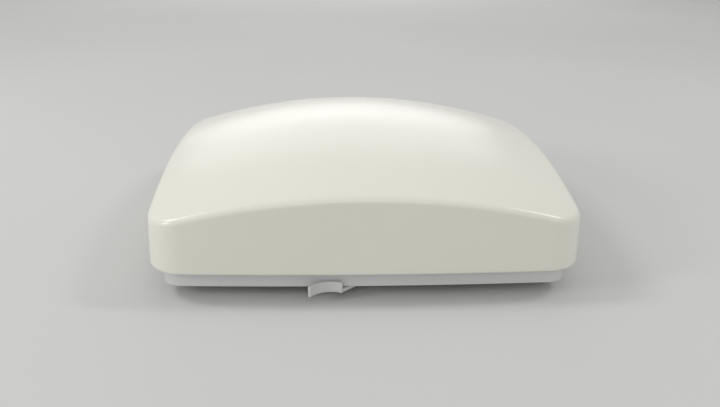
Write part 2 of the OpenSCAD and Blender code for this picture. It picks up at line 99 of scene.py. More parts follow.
def place(obj, *nodes):
    """obj stands for the CAD nodes, on the body and in the material of the first."""
    body = BODY_OF[nodes[0]]
    obj.data.materials.clear()
    obj.data.materials.append(MATERIALS[SLOT_OF[nodes[0]]])
    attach(obj, body)
    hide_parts(*nodes)


def add_skin(bm, rings, closed=False):
    """Quads between rings of equal length. An open skin is closed with a fan at each end."""
    rows = [[bm.verts.new(p) for p in ring] for ring in rings]
    count = len(rows[0])
    pairs = list(zip(rows, rows[1:]))
    if closed:
        pairs.append((rows[-1], rows[0]))
    for low, high in pairs:
        for i in range(count):
            j = (i + 1) % count
            bm.faces.new((low[i], low[j], high[j], high[i]))
    if not closed:
        for row in (rows[0], rows[-1]):
            hub = bm.verts.new(sum((v.co for v in row), Vector()) / count)
            for i in range(count):
                bm.faces.new((row[i], row[(i + 1) % count], hub))


def polar_ring(radius_at, height, segments):
    """A ring round Z at one height, whose radius is a function of the angle."""
    angles = [FULL_TURN * i / segments for i in range(segments)]
    return [Vector((radius_at(a) * math.cos(a), radius_at(a) * math.sin(a), height)) for a in angles]


def turned(profile, segments):
    """Rings of a profile of (radius, height) points turned about Z."""
    return [polar_ring(lambda angle: radius, height, segments) for radius, height in profile]


def upright_at(x, y):
    """Moves the Z axis to a point of the plan."""
    return Matrix.Translation((x, y, 0))


def moved(rings, matrix):
    return [[matrix @ p for p in ring] for ring in rings]


def rounded(points, radius):
    """A (radius, height) profile with each inner corner rounded off."""
    out = [points[0]]
    for before, here, after in zip(points, points[1:], points[2:]):
        a, b, c = Vector(before), Vector(here), Vector(after)
        cut = min(radius, CORNER_SHARE * (a - b).length, CORNER_SHARE * (c - b).length)
        start = b + (a - b).normalized() * cut
        end = b + (c - b).normalized() * cut
        for k in range(CORNER_STEPS + 1):
            t = k / CORNER_STEPS
            p = start * (1 - t) ** 2 + b * 2 * t * (1 - t) + end * t**2
            out.append((p.x, p.y))
    out.append(points[-1])
    return out


def islands(node):
    """Lowest and highest corner of each separate solid of a CAD node, sorted by place."""
    bm = welded(node)
    left, found = set(bm.verts), []
    while left:
        stack, group = [left.pop()], []
        while stack:
            v = stack.pop()
            group.append(v.co.copy())
            for edge in v.link_edges:
                other = edge.other_vert(v)
                if other in left:
                    left.remove(other)
                    stack.append(other)
        low = Vector(min(p[k] for p in group) for k in range(3))
        high = Vector(max(p[k] for p in group) for k in range(3))
        found.append((low, high))
    bm.free()
    return sorted(found, key=lambda box: tuple(round(x, SORT_DIGITS) for x in box[0]))


def welded(node):
    """A CAD node's mesh with the vertices that its shading splits joined again."""
    bm = bmesh.new()
    bm.from_mesh(frame["nodes"][node].data)
    bmesh.ops.remove_doubles(bm, verts=bm.verts, dist=WELD_DISTANCE)
    return bm


def softened(node, width):
    """A copy of a CAD node with the mould radius or deburring of the real part on its edges."""
    bm = welded(node)
    bmesh.ops.dissolve_limit(bm, angle_limit=math.radians(FLAT_DEG), verts=bm.verts, edges=bm.edges)
    limit = math.radians(BEVEL_FROM_DEG)
    sharp = [e for e in bm.edges if len(e.link_faces) == 2 and e.calc_face_angle() > limit]
    bmesh.ops.bevel(
        bm,
        geom=sharp,
        offset=width,
        segments=BEVEL_STEPS,
        profile=BEVEL_ROUND,
        affect="EDGES",
        clamp_overlap=False,
    )
    bmesh.ops.triangulate(bm, faces=[f for f in bm.faces if len(f.verts) > 4])
    return keep_flats_flat(finish_mesh(node + "_soft", bm))


# ---------------------------------------------------------------- materials

HANDLING_SPREAD = 0.05  # of the gloss of moulded plastic, either way
SATIN_DEPTH = 0.002 * MM
RUBBER_DEPTH = 0.008 * MM
MARK_DEPTH = 0.003 * MM
WEAVE_DEPTH = 0.004 * MM
DUST_TINT = 1.8
BRUSH_SIZE = 0.6 * MM
BRUSH_SMOOTHER, BRUSH_ROUGHER = 0.08, 0.12  # than the metal's mean roughness
WEAVES_PER_METRE = 2400.0
WEAVE_DARK, WEAVE_PALE = 0.92, 1.1


class Shader:
    """A node material under construction: one Principled shader with object coordinates to hand."""

    def __init__(self, name):
        self.material = bpy.data.materials.new(name)
        self.material.use_nodes = True
        self.tree = self.material.node_tree
        self.principled = self.tree.nodes["Principled BSDF"]
        self.coordinates = self.add("ShaderNodeTexCoord").outputs["Object"]

    def add(self, kind, **values):
        node = self.tree.nodes.new(kind)
        for key, value in values.items():
            if hasattr(node, key):
                setattr(node, key, value)
            else:
                node.inputs[key.replace("_", " ")].default_value = value
        return node

    def link(self, source, target):
        self.tree.links.new(source, target)

    def set(self, **values):
        for key, value in values.items():
            self.principled.inputs[key.replace("_", " ")].default_value = value

    def noise(self, size, detail=2.0, roughness=0.5, stretch=(1, 1, 1), distortion=0.0):
        """Noise with blobs of about size metres, stretched along an axis by a factor below 1."""
        mapping = self.add("ShaderNodeMapping", Scale=stretch)
        self.link(self.coordinates, mapping.inputs["Vector"])
        node = self.add("ShaderNodeTexNoise", Scale=1 / size, Detail=detail, Roughness=roughness)
        node.inputs["Distortion"].default_value = distortion
        self.link(mapping.outputs["Vector"], node.inputs["Vector"])
        return node.outputs["Fac"]

    def blend(self, factor, low, high, between):
        """Colour that runs from low to high as factor crosses the range between."""
        ramp = self.add("ShaderNodeValToRGB")
        for element, at, colour in zip(ramp.color_ramp.elements, between, (low, high)):
            element.position = at
            element.color = (*colour, 1)
        self.link(factor, ramp.inputs["Fac"])
        return ramp.outputs["Color"]

    def span(self, factor, low, high):
        """factor, from 0 to 1, mapped to the span low to high."""
        node = self.add("ShaderNodeMapRange", To_Min=low, To_Max=high)
        self.link(factor, node.inputs["Value"])
        return node.outputs["Result"]

    def bump(self, *layers):
        """Bump from (height, depth in metres) layers, laid one on another."""
        normal = None
        for height, depth in layers:
            node = self.add("ShaderNodeBump", Strength=1.0, Distance=depth)
            self.link(height, node.inputs["Height"])
            if normal:
                self.link(normal, node.inputs["Normal"])
            normal = node.outputs["Normal"]
        self.link(normal, self.principled.inputs["Normal"])

    def colour(self, socket):
        self.link(socket, self.principled.inputs["Base Color"])

    def roughness(self, socket):
        self.link(socket, self.principled.inputs["Roughness"])


def shade(colour, factor):
    """colour made lighter or darker by a factor."""
    return tuple(min(1.0, c * factor) for c in colour)


def moulded_plastic(name, colour, roughness, mottle, grain=0.5 * MM):
    """Injection-moulded plastic: fine satin grain, slow flow mottling, and gloss that handling varied."""
    s = Shader(name)
    s.set(Specular_IOR_Level=0.5, IOR=1.5)
    flow = s.noise(size=50 * MM, detail=3.0, roughness=0.55, distortion=0.4)
    s.colour(s.blend(flow, shade(colour, 1 - mottle), shade(colour, 1 + mottle), between=(0.35, 0.65)))
    handling = s.noise(size=12 * MM, detail=4.0)
    s.roughness(s.span(handling, low=roughness - HANDLING_SPREAD, high=roughness + HANDLING_SPREAD))
    sink, satin = s.noise(size=30 * MM, detail=0.0), s.noise(size=grain, detail=2.0)
    s.bump((sink, 2 * SATIN_DEPTH), (satin, SATIN_DEPTH))
    return s.material


def rubber(name, colour):
    """Matt rubber, a little paler where dust clings to it."""
    s = Shader(name)
    s.set(Specular_IOR_Level=0.35, IOR=1.45)
    dust = s.noise(size=6 * MM, detail=5.0, roughness=0.7)
    s.colour(s.blend(dust, colour, shade(colour, DUST_TINT), between=(0.45, 0.75)))
    s.roughness(s.span(s.noise(size=3 * MM, detail=3.0), low=0.62, high=0.85))
    s.bump((s.noise(size=0.3 * MM, detail=2.0), RUBBER_DEPTH))
    return s.material


def metal(name, colour, roughness, brushed=(1, 1, 1), tarnish=0.12):
    """Bare metal with fine marks, stretched where the sheet or bar was brushed, and slight tarnish."""
    s = Shader(name)
    s.set(Metallic=1.0, IOR=1.5)
    patches = s.noise(size=15 * MM, detail=4.0, roughness=0.6)
    s.colour(s.blend(patches, shade(colour, 1 - tarnish), colour, between=(0.3, 0.6)))
    marks = s.noise(size=BRUSH_SIZE, detail=4.0, roughness=0.65, stretch=brushed)
    s.roughness(s.span(marks, low=roughness - BRUSH_SMOOTHER, high=roughness + BRUSH_ROUGHER))
    s.bump((marks, MARK_DEPTH))
    return s.material


def circuit_laminate(name, colour):
    """Glass-epoxy board: a woven glass pattern under a thin glossy mask."""
    s = Shader(name)
    s.set(Specular_IOR_Level=0.5, Coat_Weight=0.35, Coat_Roughness=0.15)
    weave = s.add("ShaderNodeTexChecker", Scale=WEAVES_PER_METRE)
    s.link(s.coordinates, weave.inputs["Vector"])
    weave.inputs["Color1"].default_value = (*shade(colour, WEAVE_DARK), 1)
    weave.inputs["Color2"].default_value = (*shade(colour, WEAVE_PALE), 1)
    s.colour(weave.outputs["Color"])
    s.roughness(s.span(s.noise(size=4 * MM, detail=3.0), low=0.3, high=0.45))
    s.bump((weave.outputs["Fac"], WEAVE_DEPTH))
    return s.material


IVORY = (0.80, 0.795, 0.705)
COOL_GREY = (0.675, 0.68, 0.675)
LEVER_GREY = (0.66, 0.66, 0.65)
STEEL = (0.62, 0.61, 0.59)
BRASS = (0.78, 0.61, 0.30)
COPPER = (0.80, 0.42, 0.27)
GOLD = (0.85, 0.62, 0.25)
ALUMINIUM = (0.80, 0.81, 0.82)
TIN = (0.72, 0.72, 0.73)
FILM_GREY = (0.55, 0.56, 0.56)
SEAL_BLACK = (0.012, 0.012, 0.012)
VENT_BLACK = (0.035, 0.035, 0.036)
MASK_GREEN = (0.012, 0.10, 0.045)
PTFE_WHITE = (0.86, 0.86, 0.85)
NYLON = (0.78, 0.76, 0.69)

BRUSHED_ALONG_X, BRUSHED_ALONG_Z, GROUND_ROUND_Z = (0.03, 1, 1), (1, 1, 0.1), (1, 1, 8)

MATERIALS = {
    "radome_plastic": moulded_plastic("ivory_radome", IVORY, 0.23, mottle=0.008),
    "tray_plastic": moulded_plastic("cool_grey_tray", COOL_GREY, 0.42, mottle=0.015),
    "plate_plastic": moulded_plastic("cool_grey_plate", shade(COOL_GREY, 0.97), 0.48, mottle=0.03),
    "lever_plastic": moulded_plastic("pale_grey_lever", LEVER_GREY, 0.36, mottle=0.015),
    "seal_rubber": rubber("black_seal", SEAL_BLACK),
    "vent_rubber": rubber("dark_vent", VENT_BLACK),
    "label_film": moulded_plastic("label_film", FILM_GREY, 0.3, mottle=0.01, grain=1.0 * MM),
    "screw_steel": metal("screw_steel", STEEL, 0.3),
    "washer_steel": metal("washer_steel", shade(STEEL, 0.95), 0.28, brushed=BRUSHED_ALONG_Z),
    "pin_steel": metal("pin_steel", shade(STEEL, 1.05), 0.2, brushed=GROUND_ROUND_Z),
    "reflector_aluminium": metal("reflector_sheet", ALUMINIUM, 0.34, brushed=BRUSHED_ALONG_X),
    "element_brass": metal("element_sheet", BRASS, 0.3, brushed=BRUSHED_ALONG_X),
    "pin_brass": metal("feed_pin", BRASS, 0.25),
    "board_laminate": circuit_laminate("board", MASK_GREEN),
    "trace_copper": metal("trace_copper", COPPER, 0.3),
    "coax_copper": metal("coax_copper", COPPER, 0.28),
    "solder_tin": metal("solder", TIN, 0.22, tarnish=0.05),
    "jack_gold": metal("jack_gold", GOLD, 0.2, tarnish=0.06),
    "jack_ptfe": moulded_plastic("white_insulator", PTFE_WHITE, 0.5, mottle=0.005),
    "spacer_nylon": moulded_plastic("natural_nylon", NYLON, 0.4, mottle=0.02),
}


# ---------------------------------------------------------------- radome

RADOME_LOW, RADOME_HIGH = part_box("radome")
HALF_W, HALF_L = RADOME_HIGH.x, RADOME_HIGH.y
RIM_Z, CREST_Z = RADOME_LOW.z, RADOME_HIGH.z
CORNER_R = 17 * MM
SIDE_BOW = 0.9 * MM
END_BOW = 1.8 * MM
ARCH_X = 15 * MM
ARCH_Y = 11 * MM
CORNER_Z = CREST_Z - ARCH_X - ARCH_Y
DRAFT = math.radians(2)
SHELL = 2.6 * MM
EDGE_R = 3.5 * MM
INNER_EDGE_R = 2.0 * MM
GROOVE_H = 0.7 * MM
GROOVE_D = 0.5 * MM
NIP = 0.12 * MM
NIP_KNEE = 0.3  # of NIP, where the foot's rounded lower edge is halfway round
SIDE_STEPS, CORNER_ARC_STEPS = 44, 22
PLAN_PASSES, EDGE_PASSES = 10, 14  # of the two fits, which settle as they repeat

BOSS_R = 3.6 * MM
BOSS_PILOT_R = 1.45 * MM
BOSS_H = 16 * MM
BOSS_BORE = 12 * MM
BOSS_CROWN = 0.4  # of the boss's radius, where the fan that closes its end starts
WEB_HALF_T = 0.8 * MM
WEB_H = 14 * MM
WEB_SINK = 0.3 * MM
WEB_END = 3 * MM
SIDE_BOSS_X = 60 * MM  # beyond this, the nearest wall is at the side


def radome_plan():
    """(point, outward normal) pairs round the rim: bowed sides that run smoothly into round corners."""
    lean_end = lean_side = 0.0
    for _ in range(PLAN_PASSES):
        cx = HALF_W - SIDE_BOW - CORNER_R * math.cos(lean_side)
        cy = HALF_L - END_BOW - CORNER_R * math.cos(lean_end)
        join_x = cx + CORNER_R * math.sin(lean_end)
        join_y = cy + CORNER_R * math.sin(lean_side)
        lean_end = math.atan(2 * END_BOW / join_x)
        lean_side = math.atan(2 * SIDE_BOW / join_y)

    def bowed(half, join, bow, quarter):
        """One bowed side, made as the near end and turned by quarter turns."""
        for i in range(SIDE_STEPS):
            t = 2 * i / SIDE_STEPS - 1
            point = Vector((t * join, -half + bow * t * t))
            normal = Vector((2 * bow * t / join, -1)).normalized()
            yield turn(point, quarter), turn(normal, quarter)

    def cornered(sign_x, sign_y, start, end):
        """One round corner, from the angle start to the angle end."""
        for i in range(CORNER_ARC_STEPS):
            angle = start + (end - start) * i / CORNER_ARC_STEPS
            normal = Vector((math.cos(angle), math.sin(angle)))
            yield Vector((sign_x * cx, sign_y * cy)) + normal * CORNER_R, normal

    right = math.pi / 2
    return [
        *bowed(HALF_L, join_x, END_BOW, 0),
        *cornered(1, -1, -right + lean_end, -lean_side),
        *bowed(HALF_W, join_y, SIDE_BOW, 1),
        *cornered(1, 1, lean_side, right - lean_end),
        *bowed(HALF_L, join_x, END_BOW, 2),
        *cornered(-1, 1, right + lean_end, 2 * right - lean_side),
        *bowed(HALF_W, join_y, SIDE_BOW, 3),
        *cornered(-1, -1, 2 * right + lean_side, 3 * right - lean_end),
    ]


def turn(v, quarters):
    """v of the plan after so many quarter turns."""
    for _ in range(quarters):
        v = Vector((-v.y, v.x))
    return v


def crown(x, y):
    """Height of the radome's outside over a point of the plan."""
    return CORNER_Z + ARCH_X * (1 - (x / HALF_W) ** 2) + ARCH_Y * (1 - (y / HALF_L) ** 2)


def edge_round(point, normal, depth, radius):
    """Centre (offset, height) and end angle of the round between the drafted wall and the arched top."""
    z = CORNER_Z
    for _ in range(EDGE_PASSES):
        offset = -(depth + radius) / math.cos(DRAFT) - (z - RIM_Z) * math.tan(DRAFT)
        p = point + normal * offset
        slope = -2 * (ARCH_X * p.x * normal.x / HALF_W**2 + ARCH_Y * p.y * normal.y / HALF_L**2)
        z = crown(p.x, p.y) - depth - radius * math.hypot(1, slope)
    return offset, z, math.atan2(1, -slope)


def radome_rings(depth, radius, foot, wall_steps, round_steps, top_steps):
    """Rings from the foot (offset, height) points up the wall, round the edge and in over the top."""
    plan = radome_plan()
    edges = [edge_round(p, n, depth, radius) for p, n in plan]
    rings = [[(p + n * off).to_3d() + Vector((0, 0, z)) for p, n in plan] for off, z in foot]
    foot_off, foot_z = foot[-1]
    for k in range(1, wall_steps + 1):
        t = k / (wall_steps + 1)
        ring = []
        for (p, n), (off, z, _) in zip(plan, edges):
            top_off, top_z = off + radius * math.cos(DRAFT), z + radius * math.sin(DRAFT)
            q = p + n * (foot_off + (top_off - foot_off) * t)
            ring.append(Vector((q.x, q.y, foot_z + (top_z - foot_z) * t)))
        rings.append(ring)
    for k in range(round_steps + 1):
        ring = []
        for (p, n), (off, z, end) in zip(plan, edges):
            angle = DRAFT + (end - DRAFT) * k / round_steps
            q = p + n * (off + radius * math.cos(angle))
            ring.append(Vector((q.x, q.y, z + radius * math.sin(angle))))
        rings.append(ring)
    edge_ring = rings[-1]
    for k in range(1, top_steps):
        share = 1 - k / top_steps
        ring = [q.xy * share for q in edge_ring]
        rings.append([Vector((q.x, q.y, crown(q.x, q.y) - depth)) for q in ring])
    return rings


def make_radome():
    """The radome's shell, with a flat rim and a drip groove that draws a shadow line over the tray."""
    ledge_z = RIM_Z + GROOVE_H
    foot_out = [
        (-GROOVE_D - NIP, RIM_Z),
        (-GROOVE_D, RIM_Z + NIP),
        (-GROOVE_D, ledge_z),
        (-NIP, ledge_z),
        (-NIP_KNEE * NIP, ledge_z + NIP_KNEE * NIP),
        (-(GROOVE_H + NIP) * math.tan(DRAFT), ledge_z + NIP),
    ]
    foot_in = [(-SHELL + NIP, RIM_Z), (-SHELL, RIM_Z + NIP)]
    outside = radome_rings(0, EDGE_R, foot_out, wall_steps=12, round_steps=12, top_steps=30)
    inside = radome_rings(SHELL, INNER_EDGE_R, foot_in, wall_steps=5, round_steps=5, top_steps=12)
    bm = bmesh.new()
    add_skin(bm, inside[::-1] + outside)
    place(finish_mesh("radome_shell", bm), "radome")


def make_bosses():
    """Screw bosses inside the radome, each tied to the nearest wall by a web."""
    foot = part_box("base_tray")[1].z
    end = foot + BOSS_H
    bm = bmesh.new()
    for lo, hi in islands("radome_screws"):
        spot = (lo + hi) / 2
        tube = [
            (BOSS_PILOT_R, foot + BOSS_BORE),
            (BOSS_PILOT_R, foot),
            (BOSS_R, foot),
            (BOSS_R, end),
            (BOSS_CROWN * BOSS_R, end),
        ]
        add_skin(bm, moved(turned(rounded(tube, EDGE_BREAK), SMALL_SEGMENTS), upright_at(spot.x, spot.y)))
        sideways = abs(spot.x) > SIDE_BOSS_X
        out = Vector((math.copysign(1, spot.x), 0)) if sideways else Vector((0, math.copysign(1, spot.y)))
        reach = (HALF_W - abs(spot.x) if sideways else HALF_L - abs(spot.y)) - WEB_END
        across = Vector((-out.y, out.x)) * WEB_HALF_T
        near, far = spot.xy + out * (BOSS_R - WEB_SINK), spot.xy + out * reach
        ring = [near - across, far - across, far + across, near + across]
        add_skin(bm, [[Vector((q.x, q.y, z)) for q in ring] for z in (foot, foot + WEB_H)])
    place(finish_mesh("radome_bosses", bm), "radome")


# ---------------------------------------------------------------- screws and threads

PAN_HEAD_R = 2.8 * MM
PAN_HEAD_H = 2.2 * MM
TAPPING_R, TAPPING_PITCH = 1.4 * MM, 1.1 * MM
MACHINE_R, MACHINE_PITCH = 1.5 * MM, 0.5 * MM
SCREW_SEGMENTS = 28
SCREW_STEPS_A_TURN = 8
SCREW_THREAD_DEPTH = 0.22  # of the shank's radius
SCREW_NECK = 0.4 * MM
CREST_FLAT = 0.12  # of a thread's half pitch, at its crest and at its root
CROSS_W = 0.7 * MM
CROSS_R, CROSS_DEPTH = 0.62, 0.6  # of the head's radius and height
CROSS_ROOT_R, CROSS_ROOT_W = 0.45, 0.35  # of the cross's size at its mouth
CROSS_OVER = 0.2 * MM


def thread_profile(phase):
    """Depth share of a V thread with flat crest and root, as phase goes from 0 to 1."""
    wave = abs(2 * (phase % 1.0) - 1)
    return min(1.0, max(0.0, (wave - CREST_FLAT) / (1 - 2 * CREST_FLAT)))


def thread_rings(radius, depth, pitch, z0, z1, segments, per_turn):
    """Rings of a right-hand thread from z0 to z1 that fades out over one turn at each end."""
    steps = round((z1 - z0) / pitch * per_turn)

    def ring(z):
        fade = max(0.0, min(1.0, (z - z0) / pitch, (z1 - z) / pitch))
        cut = depth * fade
        return polar_ring(
            lambda angle: radius - cut * thread_profile(z / pitch - angle / FULL_TURN), z, segments
        )

    return [ring(z0 + (z1 - z0) * k / steps) for k in range(steps + 1)]


def crossed(root, mouth):
    """A cutter of two crossed bars, from root up to mouth, both (half length, half width, height)."""
    cutter = bmesh.new()
    for quarter in (0, 1):
        rings = [[Vector((x * r, y * w, h)) for x, y in SQUARE] for r, w, h in (root, mouth)]
        add_skin(cutter, moved(rings, Matrix.Rotation(quarter * math.pi / 2, 4, "Z")))
    return cutter


def carved(name, solid, cutter):
    """solid less cutter, both bmeshes, as a new bmesh."""
    tool = finish_mesh(name + "_cutter", cutter)
    body = finish_mesh(name + "_body", solid)
    modifier = body.modifiers.new("cut", "BOOLEAN")
    modifier.operation, modifier.solver, modifier.object = "DIFFERENCE", "EXACT", tool
    modifier.use_self = True
    evaluated = body.evaluated_get(bpy.context.evaluated_depsgraph_get())
    out = bmesh.new()
    out.from_mesh(evaluated.to_mesh())
    evaluated.to_mesh_clear()
    for obj in (body, tool):
        bpy.data.objects.remove(obj)
    return out


def pan_screw(head_r, head_h, shank_r, length, pitch):
    """A cross-recessed pan screw: the head's seat is at z = 0, its top is up and its thread hangs below."""
    point_r, tip_r, tip_h, thread_from = (share * shank_r for share in (0.35, 0.8, 0.4, 0.8))
    edge_h, top_r, middle_r = 0.55 * head_h, 0.55 * head_r, 0.3 * head_r
    tip = [(point_r, -length), (tip_r, -length + tip_h)]
    thread = thread_rings(
        shank_r,
        SCREW_THREAD_DEPTH * shank_r,
        pitch,
        -length + thread_from,
        -SCREW_NECK,
        SCREW_SEGMENTS,
        SCREW_STEPS_A_TURN,
    )
    head = rounded([(shank_r, 0), (head_r, 0), (head_r, edge_h), (top_r, head_h)], EDGE_BREAK)
    head.append((middle_r, head_h))
    bm = bmesh.new()
    add_skin(bm, turned(tip, SCREW_SEGMENTS) + thread + turned(head, SCREW_SEGMENTS))
    cross_r = CROSS_R * head_r
    root = (CROSS_ROOT_R * cross_r, CROSS_ROOT_W * CROSS_W, head_h - CROSS_DEPTH * head_h)
    return carved("pan_screw", bm, crossed(root, (cross_r, CROSS_W, head_h + CROSS_OVER)))


def screw_set(node, shank_r, pitch, head_down=False):
    """One screw at each solid of a CAD node, heads up or down, joined into one piece."""
    spots = islands(node)
    lo, hi = spots[0]
    pattern = pan_screw(PAN_HEAD_R, PAN_HEAD_H, shank_r, hi.z - lo.z - PAN_HEAD_H, pitch)
    pattern.transform(Matrix.Rotation(math.pi if head_down else 0, 4, "X"))
    joined = bmesh.new()
    for lo, hi in spots:
        seat = lo.z + PAN_HEAD_H if head_down else hi.z - PAN_HEAD_H
        at = Vector(((lo.x + hi.x) / 2, (lo.y + hi.y) / 2, seat))
        pattern.transform(Matrix.Translation(at))
        mesh = bpy.data.meshes.new("one_screw")
        pattern.to_mesh(mesh)
        pattern.transform(Matrix.Translation(-at))
        joined.from_mesh(mesh)
        bpy.data.meshes.remove(mesh)
    pattern.free()
    place(finish_mesh(node + "_set", joined), node)


# ---------------------------------------------------------------- jack

JACK_LOW, JACK_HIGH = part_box("jack_shell")
JACK_Z = (JACK_LOW.z + JACK_HIGH.z) / 2
THREAD_R = 3.175 * MM
THREAD_PITCH = 25.4 / 36 * MM
THREAD_DEPTH = 0.4 * MM
THREAD_STEPS_A_TURN = 10
THREAD_RUN_IN, THREAD_RUN_OUT = 0.25 * MM, 0.35 * MM  # how far its two ends lie below the crests
SHANK_R = 2.8 * MM
SOCKET_R = 2.1 * MM
ROOT_R, STEP_R, TAIL_R = 1.2 * MM, 1.7 * MM, 1.9 * MM
TAIL_CUP = 0.6 * MM
CHAMFER = 0.2 * MM
ACROSS_FLATS = 8 * MM
FLANGE_T, FLANGE_BORE = 2 * MM, 1.8 * MM
NUT_CONE = math.tan(math.radians(30))
NUT_FACE = 0.98  # of the distance from axis to flat, where the cone starts
NUT_BITE = 0.15 * MM
NUT_SEGMENTS = 72
CONTACT_R, CONTACT_BORE, CONTACT_DEEP = 0.65 * MM, 0.44 * MM, 3 * MM
CORE_CONE, CORE_ROUND = 0.25 * MM, 0.1 * MM
SLIT_HALF_L, SLIT_HALF_W = 1.0 * MM, 0.07 * MM
ALONG_Y = Matrix.Translation((0, 0, JACK_Z)) @ Matrix.Rotation(-math.pi / 2, 4, "X")


def hexagon_rings(across_flats, bore, y0, y1):
    """Closed rings of a nut from y0 to y1: corners coned off at both faces, and a chamfered bore."""
    apothem = across_flats / 2
    face_r = NUT_FACE * apothem

    def drop(r):
        """How far the cone lies below the nut's face at a radius."""
        return (r - face_r) * NUT_CONE

    def ring(radius_at, height_at):
        """One ring, from the hexagon's radius at each angle."""
        out = []
        for i in range(NUT_SEGMENTS):
            angle = FULL_TURN * i / NUT_SEGMENTS
            to_flat = (angle + math.pi / 6) % (math.pi / 3) - math.pi / 6
            hex_r = apothem / math.cos(to_flat)
            r = radius_at(hex_r)
            out.append(Vector((r * math.cos(angle), r * math.sin(angle), height_at(hex_r))))
        return out

    return [
        ring(lambda r: bore, lambda r: y0 + NUT_BITE),
        ring(lambda r: bore + NUT_BITE, lambda r: y0),
        ring(lambda r: face_r, lambda r: y0),
        ring(lambda r: r, lambda r: y0 + drop(r)),
        ring(lambda r: r, lambda r: y1 - drop(r)),
        ring(lambda r: face_r, lambda r: y1),
        ring(lambda r: bore + NUT_BITE, lambda r: y1),
        ring(lambda r: bore, lambda r: y1 - NUT_BITE),
    ]


def make_jack_shell():
    """The jack's barrel, with a helical thread and a socket, and the hexagon flange behind it."""
    nut_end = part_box("jack_nut")[1].y
    flange_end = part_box("jack_seal")[0].y
    mouth = JACK_HIGH.y
    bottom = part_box("jack_insulator")[1].y
    thread = thread_rings(
        THREAD_R,
        THREAD_DEPTH,
        THREAD_PITCH,
        nut_end + CHAMFER,
        mouth - CHAMFER,
        FINE_SEGMENTS,
        THREAD_STEPS_A_TURN,
    )
    tail = [
        (ROOT_R, JACK_LOW.y + TAIL_CUP),
        (ROOT_R, JACK_LOW.y),
        (STEP_R, JACK_LOW.y),
        (TAIL_R, JACK_LOW.y + CHAMFER),
        (TAIL_R, flange_end - CHAMFER),
        (SHANK_R, flange_end - CHAMFER),
        (SHANK_R, nut_end),
        (THREAD_R - THREAD_RUN_IN, nut_end + 0.25 * CHAMFER),
    ]
    socket = [
        (THREAD_R - THREAD_RUN_OUT, mouth),
        (SOCKET_R + CHAMFER, mouth),
        (SOCKET_R, mouth - CHAMFER),
        (SOCKET_R, bottom - CHAMFER),
    ]
    bm = bmesh.new()
    barrel = turned(tail, FINE_SEGMENTS) + thread + turned(socket, FINE_SEGMENTS)
    add_skin(bm, moved(barrel, ALONG_Y))
    flange = hexagon_rings(ACROSS_FLATS, FLANGE_BORE, flange_end - FLANGE_T, flange_end)
    add_skin(bm, moved(flange, ALONG_Y), closed=True)
    place(finish_mesh("jack_barrel", bm, NUT_SHARP_DEG), "jack_shell")


def make_jack_nut():
    lo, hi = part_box("jack_nut")
    bm = bmesh.new()
    add_skin(bm, moved(hexagon_rings(ACROSS_FLATS, SHANK_R, lo.y, hi.y), ALONG_Y), closed=True)
    place(finish_mesh("jack_hex_nut", bm, NUT_SHARP_DEG), "jack_nut")


def make_jack_core():
    """The jack's insulator, with a cone round the contact's hole."""
    lo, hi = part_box("jack_insulator")
    core = [
        (CONTACT_R, lo.y),
        (SOCKET_R, lo.y),
        (SOCKET_R, hi.y),
        (CONTACT_R + CORE_CONE, hi.y),
        (CONTACT_R, hi.y - CORE_CONE),
    ]
    bm = bmesh.new()
    add_skin(bm, moved(turned(rounded(core, CORE_ROUND), PIN_SEGMENTS), ALONG_Y), closed=True)
    place(finish_mesh("jack_core", bm), "jack_insulator")


def make_jack_contact():
    """The centre contact: a sleeve slit crosswise from its open end."""
    lo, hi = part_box("jack_contact")
    bore, deep, lip, over = CONTACT_BORE, hi.y - CONTACT_DEEP, 0.1 * MM, 0.2 * MM
    slit_foot = deep + 0.3 * MM
    sleeve = [(CONTACT_R, lo.y), (CONTACT_R, hi.y - lip), (bore + lip, hi.y), (bore, deep)]
    bm = bmesh.new()
    add_skin(bm, turned(sleeve, SMALL_SEGMENTS))
    slits = crossed((SLIT_HALF_L, SLIT_HALF_W, slit_foot), (SLIT_HALF_L, SLIT_HALF_W, hi.y + over))
    contact = carved("contact", bm, slits)
    contact.transform(ALONG_Y)
    place(finish_mesh("jack_socket_contact", contact), "jack_contact")


def make_jack_washer():
    """A split lock washer: one square-section turn whose ends step past each other."""
    lo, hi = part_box("jack_washer")
    inner, outer, thick = 2.85 * MM, (hi.x - lo.x) / 2, 0.8 * (hi.y - lo.y)
    section = ((inner, 0), (outer, 0), (outer, thick), (inner, thick))
    rings, steps, gap, climb = [], 60, math.radians(9), 0.12 * MM
    for k in range(steps + 1):
        angle = gap / 2 + (FULL_TURN - gap) * k / steps
        rise = lo.y + climb * k / steps
        rings.append([Vector((r * math.cos(angle), r * math.sin(angle), rise + h)) for r, h in section])
    bm = bmesh.new()
    add_skin(bm, moved(rings, ALONG_Y))
    place(finish_mesh("jack_lock_washer", bm), "jack_washer")


# ---------------------------------------------------------------- small parts


